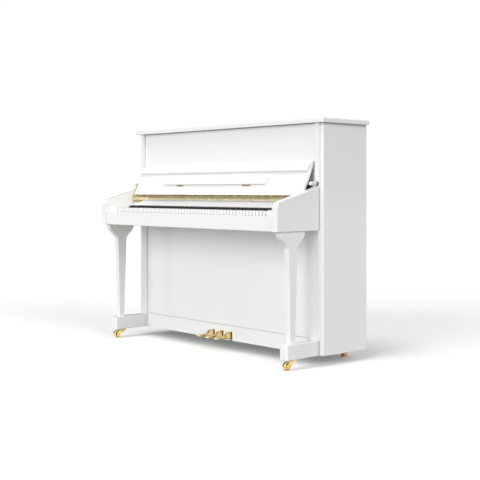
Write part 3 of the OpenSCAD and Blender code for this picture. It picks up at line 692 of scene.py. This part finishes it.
def stop_pegs():
    """A white peg with a domed end in a dark rubber collar, on each stile."""
    low, high = corners("stop_pegs")
    ring_r = 10 * MM
    x, z = high[0] - ring_r, (low[2] + high[2]) / 2
    front, back = low[1], high[1]
    collar = back - 12 * MM
    dome = in_mm((0.5, 0), (5, 0.4), (7.6, 1.8), (8.8, 4.5), (9, 8))
    peg = [(r, front + along) for r, along in dome] + [(9 * MM, collar)]
    ring = [(9.2 * MM, collar), (ring_r, collar + 0.8 * MM), (ring_r, back - 0.8 * MM), (9.6 * MM, back)]
    shells, finishes = [], []
    for _, sign in SIDES:
        shells += [turned(peg, (sign * x, 0, z), "y", 32), turned(ring, (sign * x, 0, z), "y", 32)]
        finishes += [NYLON, RUBBER]
    piece("stop_pegs_turned", shells, "case", ["stop_pegs"], finishes)


# Keyboard ----------------------------------------------------------------------------------

PITCH_CLASSES = ("c", "c_sharp", "d", "d_sharp", "e", "f", "f_sharp", "g", "g_sharp", "a", "a_sharp", "b")
NOTES, FIRST_NOTE, GAP = 88, 9, 1 * MM
KEYS_LEFT, KEYS_RIGHT = corners("keys_a")[0][0] - GAP / 2, corners("keys_c")[1][0] + GAP / 2
WHITE_PITCH = (KEYS_RIGHT - KEYS_LEFT) / 52
NOTE_PITCH = WHITE_PITCH * 7 / 12
OCTAVE_LEFT = KEYS_LEFT - 5 * WHITE_PITCH
KEYS_LO, KEYS_HI = corners("keys_c")
BLACK_LO, BLACK_HI = corners("keys_c_sharp")
WHITE_STEPS = (0, 0, 1, 0, 2, 3, 0, 4, 0, 5, 0, 6)  # how many naturals lie below each natural of an octave
COVER_THICK = 2.6 * MM
KEY_EDGE = 0.4 * MM


def note_x(note):
    """The middle of a key's tail: the twelve tails of an octave share its width evenly."""
    return OCTAVE_LEFT + (note + FIRST_NOTE + 0.5) * NOTE_PITCH


def white_key(note):
    """An acrylic cover with a front apron, on a spruce lever that goes on under the fallboard. The
    cover is cut back beside the black keys."""
    octave, pitch = divmod(note + FIRST_NOTE, 12)
    left = OCTAVE_LEFT + (7 * octave + WHITE_STEPS[pitch]) * WHITE_PITCH
    inset, apron_front, apron_back = 1.4 * MM, 1.2 * MM, 3 * MM
    head = (left + inset, left + WHITE_PITCH - inset)
    half = NOTE_PITCH / 2 - 0.6 * MM
    tail = (head[0] if note == 0 else max(head[0], note_x(note) - half),
            head[1] if note == NOTES - 1 else min(head[1], note_x(note) + half))
    step, far = BLACK_LO[1] - 2 * MM, RAIL_LO[1] + 20 * MM
    top, under, front, back = KEYS_HI[2], KEYS_LO[2], KEYS_LO[1], KEYS_HI[1]
    right = [(head[1], step), (tail[1], step)] if tail[1] < head[1] else []
    left = [(tail[0], step), (head[0], step)] if tail[0] > head[0] else []
    points = [(head[0], front), (head[1], front), *right, (tail[1], far), (tail[0], far), *left]
    radius = [1.2 * MM] * 2 + [0.6 * MM] * (len(points) - 2)
    cover = slab(rounded(points, radius, 2), top - COVER_THICK, top, "z", 0.7 * MM, 2)
    apron = box_slab((head[0] + 0.2 * MM, front + apron_front, under),
                     (head[1] - 0.2 * MM, front + apron_back, top - 2.2 * MM), "z", KEY_EDGE, KEY_EDGE, 2)
    lever = box_slab((tail[0] + 0.3 * MM, front + apron_back, under),
                     (tail[1] - 0.3 * MM, back, top - COVER_THICK), "y", KEY_EDGE, KEY_EDGE, 2)
    return [cover, apron, lever], [ACRYLIC, ACRYLIC, KEY_WOOD]


def black_key(note):
    """A cap that narrows upwards and slopes at its nose, on a lever. Rows run from nose to tail, and
    each is a trapezium with rounded upper corners."""
    x = note_x(note)
    front, back = BLACK_LO[1], RAIL_LO[1] + 16 * MM
    foot, top = KEYS_HI[2] - 2 * MM, BLACK_HI[2]
    nose = np.array([0, 0.5, 1.4, 2.6, 4.2, 6.2, 8.6, 12]) * MM
    nose_rise = np.array([3.5, 5.2, 7.4, 9.4, 11, 12.2, 13.2, 13.8]) * MM
    y = np.concatenate([front + nose, [back - 0.5 * MM, back]])
    rise = np.minimum(np.interp(y - front, nose, nose_rise) + top - foot - nose_rise[-1], top - foot)
    foot_half, top_half, r = 5 * MM, 4.1 * MM, 1.3 * MM
    narrow = np.zeros(len(y))
    narrow[[0, -1]] = 0.5 * MM
    angle = np.linspace(0, math.pi / 2, 5)
    right_u = np.concatenate([[foot_half], top_half - r + r * np.cos(angle)])
    up = np.concatenate([[0], -r + r * np.sin(angle)])
    ring_u = np.concatenate([right_u, -right_u[::-1]])
    lift = np.concatenate([up, up[::-1]])
    is_top = np.concatenate([[0], np.ones(2 * len(angle)), [0]])
    z = foot + is_top * rise[:, None] + lift
    u = x + ring_u * (1 - narrow[:, None] / foot_half)
    cap = to_axis(u, z, np.broadcast_to(y[:, None], z.shape), "y")
    half = NOTE_PITCH / 2 - 0.5 * MM
    lever = box_slab((x - half, front, KEYS_LO[2]), (x + half, BLACK_HI[1], foot + KEY_EDGE), "y",
                     KEY_EDGE, KEY_EDGE, 2)
    return [cap, lever], [EBONY, KEY_WOOD]


def keys():
    """Each pitch class is one piece, as it is one body: its key in every octave."""
    for pitch, name in enumerate(PITCH_CLASSES):
        node, sharp = f"keys_{name}", "sharp" in name
        shells, finishes = [], []
        for note in range(NOTES):
            if (note + FIRST_NOTE) % 12 == pitch:
                made, used = black_key(note) if sharp else white_key(note)
                shells += made
                finishes += used
        piece(node + "_made", shells, node, [node], finishes)


# Pedals and casters ------------------------------------------------------------------------

def pedals():
    """A superellipse |u|^4 + |v|^4 = 1 carried along y: the lever, the deep neck that fills its slot's
    height, and the broad toe. Its top, its underside and its half width are read off curves."""
    front = corners("pedal_sustain")[0][1]
    along = np.array([0, 1, 3, 6.5, 11.5, 20, 34, 50, 62, 71, 80, 87, 94, 106, 116, 130, 150, 191, 290])
    top = np.array([72, 73.4, 74.8, 75.5, 75.9, 76.1, 76.2, 76.6, 78, 82.5, 90, 94.4, 96, 96.3, 96.3, 96.2,
                    95.8, 96, 96])
    under = np.array([70.6, 69, 67.2, 66.2, 65.6, 65.2, 65, 65, 64.8, 64, 61, 60.2, 60, 60.4, 73, 83.4,
                      85.2, 86, 86])
    width = np.array([3.0, 6.4, 9.6, 12.2, 13.6, 14.0, 13.4, 12.2, 10.6, 9.2, 8.4, 8.0, 7.8, 7.4, 5.0, 4.4,
                      4.4, 5.0, 5.0])
    y = np.concatenate([np.linspace(0, 13.5, 12), np.linspace(15.5, 130, 34), along[-3:]])
    angle = np.linspace(0, 2 * math.pi, 28, endpoint=False)
    u = np.sign(np.cos(angle)) * np.abs(np.cos(angle)) ** 0.5
    v = np.sign(np.sin(angle)) * np.abs(np.sin(angle)) ** 0.5
    high_z, low_z, w = (np.interp(y, along, curve)[:, None] * MM for curve in (top, under, width))
    z, h = (high_z + low_z) / 2, (high_z - low_z) / 2
    y = np.broadcast_to(front + y[:, None] * MM, (len(y), len(angle)))
    boss = in_mm((7, -7), (8, -6.4), (8, 6.4), (7, 7))
    for name in ("soft", "middle", "sustain"):
        node = f"pedal_{name}"
        low, high = corners(node)
        x = (low[0] + high[0]) / 2
        shells = [to_axis(x + w * u, z + h * v, y, "y"),
                  turned(boss, joint_place(f"{node}_press") + (x, 0, 0), "x", 24)]
        piece(node + "_cast", shells, node, [node], BRASS)


def pedal_felt():
    """A strip of felt under the pedals' levers, on the bottom board."""
    front, foot = corners("bottom_board")[0][1:]
    half = corners("pedal_sustain")[1][0] + 12 * MM
    board, thick = foot + 23 * MM, 1.2 * MM
    strip = box_slab((-half, front + 12 * MM, board), (half, front + 27 * MM, board + thick), "x",
                     0.5 * MM, 0.5 * MM)
    piece("pedal_felt", [strip], "case", [], GREEN_FELT)


def wheel_profile(radius, half):
    """A tyre with rounded shoulders, a raised rim and a hub, from one side to the other. Radii are in
    millimetres, and the ways along the axle are shares of the half width."""
    side = [(0.4, -0.80), (3.4, -0.80), (4.6, -0.66), (5.4, -0.52), (12.5, -0.52), (14.2, -0.80),
            (15.2, -0.92)]
    shoulder, share = 4, 0.4
    quarter = [(radius / MM - shoulder * (1 - math.sin(a)), share * (1 - math.cos(a)) - 1)
               for a in np.linspace(0.25, 1.57, 5)]
    profile = [(r * MM, w * half) for r, w in side + quarter]
    return profile + [(r, -w) for r, w in profile[::-1]]


def wheels():
    """Front wheels turn about x and rear wheels about y."""
    for place, axis, number in (("front", "x", 0), ("rear", "y", 1)):
        for side, _ in SIDES:
            node = f"wheel_{place}_{side}"
            low, high = corners(node)
            profile = wheel_profile((high[2] - low[2]) / 2, (high[number] - low[number]) / 2)
            piece(node + "_turned", [turned(profile, (low + high) / 2, axis, 48)], node, [node], BRASS)


CHEEK = 2.4 * MM
BOSS_R = 9 * MM


def cheeks(axle, head, half, axis):
    """Two cheek plates: a triangle from the head plate down to a round boss about the axle."""
    angle = np.radians(np.linspace(140, 325, 14))
    boss = np.stack([axle[0] + BOSS_R * np.cos(angle), axle[1] + BOSS_R * np.sin(angle)], 1)
    outline, _ = turned_ccw(np.concatenate([[(head[1], head[2]), (head[0], head[2])], boss]), 0)
    return [slab(outline, s * half - CHEEK / 2, s * half + CHEEK / 2, axis, 0.5 * MM, 2) for s in (-1, 1)]


def axle_rod(half, centre, axis):
    """An axle through both cheeks, with a domed head outside each."""
    dome = in_mm((5.5, 1.1), (5.2, 2.1), (3.4, 3.0), (0.4, 3.3))
    heads = [turned([(r, s * (half + out)) for r, out in dome], centre, axis, 20) for s in (-1, 1)]
    return heads + [turned([(3 * MM, -half), (3 * MM, half)], centre, axis, 16)]


def front_casters():
    """Head plate, ball race, kingpin cup, two pressed cheeks, and an axle with domed ends."""
    toe_low = corners("toe_block_right")[0][2]
    swivel = joint_place("caster_right_swivel")
    axle = joint_place("wheel_front_right_spin")
    wheel_low, wheel_high = corners("wheel_front_right")
    half = (wheel_high[0] - wheel_low[0]) / 2 + CHEEK
    wide = half + 1.2 * MM
    behind, ahead = swivel[1] - 26 * MM, swivel[1] + 14 * MM
    plate = in_mm((6, -0.5), (18.4, -0.5), (19, -1), (19, -2.4), (18.4, -3), (6, -3))
    pin = in_mm((5, 4), (5, -0.4), (4, -0.5))
    cup = in_mm((4, -6), (9, -6), (10, -7), (9, -9.5), (5, -11), (0.5, -11.2))
    centre = (swivel[0], swivel[1], toe_low)
    shells = [turned(plate, centre, "z", 40), turned(pin, centre, "z", 16), turned(cup, centre, "z", 24),
              box_slab((swivel[0] - wide, behind, toe_low - 6 * MM),
                       (swivel[0] + wide, ahead, toe_low - 3 * MM), "z", SOFT_EDGE, 0.8 * MM)]
    shells += [cheek + (swivel[0], 0, 0)
               for cheek in cheeks((axle[1], axle[2]), (behind, ahead, toe_low - 4 * MM), half, "x")]
    shells += axle_rod(half, axle, "x")
    for side, sign in SIDES:
        node = f"caster_fork_{side}"
        piece(node + "_made", [mirrored(shell, sign) for shell in shells], node, [node], BRASS)


def rear_casters():
    """A head plate, two cheeks and an axle for each wheel, fixed under the back frame."""
    top = corners("rear_casters")[1][2]
    wheel_low, wheel_high = corners("wheel_rear_right")
    x, y, z = (wheel_low + wheel_high) / 2
    half = (wheel_high[1] - wheel_low[1]) / 2 + CHEEK
    wide = half + 1.2 * MM
    shells = [cheek + (0, y, 0)
              for cheek in cheeks((x, z), (x - 20 * MM, x + 20 * MM, top - 3 * MM), half, "y")]
    shells.append(box_slab((x - 26 * MM, y - wide, top - 4 * MM), (x + 26 * MM, y + wide, top), "z",
                           SOFT_EDGE, 0.8 * MM))
    shells += axle_rod(half, (x, y, z), "y")
    piece("rear_casters_made", both_sides(*shells), "case", ["rear_casters"], BRASS)


# Back and carried-over nodes ---------------------------------------------------------------

def back_frame():
    """Beams across, posts between them and the liner that the soundboard is glued to."""
    low, high = corners("back_frame")
    front, liner, across = low[1], low[1] + 14 * MM, (high[0] - low[0]) / 2
    liner_back = liner + 6 * MM
    beam, post_half, bevel, rail = 65 * MM, 30 * MM, 2.5 * MM, 40 * MM
    string_top = corners("pin_block")[0][2] - 10 * MM
    beam_foot, rail_foot = string_top + 10 * MM, string_top - 30 * MM
    beams = [box_slab((low[0], liner, beam_foot), high, "x", bevel, bevel, 2),
             box_slab((low[0], liner, low[2]), (high[0], high[1], low[2] + beam), "x", bevel, bevel, 2),
             box_slab(low, (high[0], liner_back, low[2] + rail), "x", 1 * MM, 1 * MM, 2),
             box_slab((low[0], front, rail_foot), (high[0], liner_back, string_top + 9 * MM), "x",
                      1 * MM, 1 * MM, 2)]
    posts = [box_slab((x - post_half, liner, low[2] + beam), (x + post_half, high[1], beam_foot), "z",
                      bevel, 0.4 * MM, 2) for x in (across - post_half) * np.linspace(-1, 1, 5)]
    posts += both_sides(box_slab((across - rail, front, low[2] + rail), (across, liner_back, rail_foot), "z",
                                 1 * MM, 0.2 * MM, 2))
    piece("back_frame_planed", beams + posts, "case", ["back_frame"],
          [BEAM_WOOD] * len(beams) + [FRAME_WOOD] * len(posts))


CARRIED = {"key_bed": WHITE, "bottom_board": SHADE_BLACK_BOARD, "pin_block": MAPLE, "soundboard": SPRUCE,
           "iron_plate": PLATE, "tuning_pins": STEEL, "strings": STRINGS, "action_frame": CAST_METAL,
           "hammers": HAMMER_FELT, "dampers": DAMPER_FELT, "muffler_rail": GREEN_FELT,
           "key_frame": KEY_WOOD, "rod_soft": STEEL, "rod_middle": STEEL, "rod_sustain": STEEL}


def carried_over():
    """The nodes that are shown as they are get their materials."""
    for node, finish in CARRIED.items():
        made = frame["nodes"][node]
        if not made.material_slots:
            made.data.materials.append(finish)
        for place in made.material_slots:
            place.material = finish


# Floor, light and camera -------------------------------------------------------------------

def sheet(name, points, finish):
    """A flat four-cornered sheet of the studio."""
    mesh = bpy.data.meshes.new(name)
    mesh.from_pydata(points, [], [(0, 1, 2, 3)])
    mesh.materials.append(finish)
    made = bpy.data.objects.new(name, mesh)
    bpy.context.scene.collection.objects.link(made)
    return made


def floor():
    """A pale floor, and far behind it a white backdrop that lights nothing."""
    f = Finish("pale_floor")
    tone = f.noise(1.5, 2)
    pale = f.done(Base_Color=f.blend((0.99, 0.99, 0.99), (0.98, 0.98, 0.98), tone), Roughness=0.7,
                  Emission_Color=(1, 1, 1, 1), Emission_Strength=0.13)
    half = 40
    ground = sheet("floor", [(-half, -half, 0), (half, -half, 0), (half, half, 0), (-half, half, 0)], pale)
    ground.visible_diffuse = False
    f = Finish("backdrop_paper")
    tone = f.noise(0.1, 1)
    paper = f.done(Base_Color=(0, 0, 0, 1), Emission_Color=(1, 1, 1, 1), Emission_Strength=1.0,
                   Roughness=0.9 + 0.1 * tone)
    drop = sheet("backdrop", [(-30, 0, -1), (5, 30, -1), (5, 30, 20), (-30, 0, 20)], paper)
    drop.visible_diffuse = drop.visible_glossy = drop.visible_shadow = False


def sun(name, direction, strength, spread):
    """A broad distant light that travels in a direction."""
    data = bpy.data.lights.new(name, "SUN")
    data.energy = strength
    data.angle = math.radians(spread)
    made = bpy.data.objects.new(name, data)
    x, y, z = direction
    made.rotation_euler = (math.atan2(math.hypot(x, y), -z), 0, math.atan2(-x, y))
    bpy.context.scene.collection.objects.link(made)


def studio():
    """Three broad distant lights under an even white sky."""
    scene = bpy.context.scene
    scene.view_settings.view_transform = "Standard"
    world = bpy.data.worlds.new("studio")
    scene.world = world
    world.use_nodes = True
    sky = world.node_tree.nodes["Background"].inputs
    sky["Color"].default_value = (1, 1, 1, 1)
    sky["Strength"].default_value = 0.33
    sun("front_light", (-0.05, 1.0, -0.33), 2.03, 44)
    sun("side_light", (-1.0, 0.10, -0.47), 1.36, 30)
    sun("overhead_light", (-0.03, 0.35, -1.0), 0.85, 24)


def camera():
    """Level, 48 degrees round to the treble side, at the height of the fallboard."""
    data = bpy.data.cameras.new("camera")
    data.lens = 73.44
    data.shift_y = -0.1041
    made = bpy.data.objects.new("camera", data)
    made.location = (3.9189, -3.3981, 0.8374)
    made.rotation_euler = (math.radians(90), 0, math.radians(48.16))
    bpy.context.scene.collection.objects.link(made)
    bpy.context.scene.camera = made


for build in (camera, floor, studio, side_panels, stiles, panels, bottom_rail, key_slip, key_blocks, arms,
              legs, toe_blocks, joint_strips, lid, fallboard_rail, fallboard, fallboard_lip, music_desk,
              hinge, stop_pegs, keys, pedals, pedal_felt, wheels, front_casters, rear_casters, back_frame,
              carried_over):
    build()
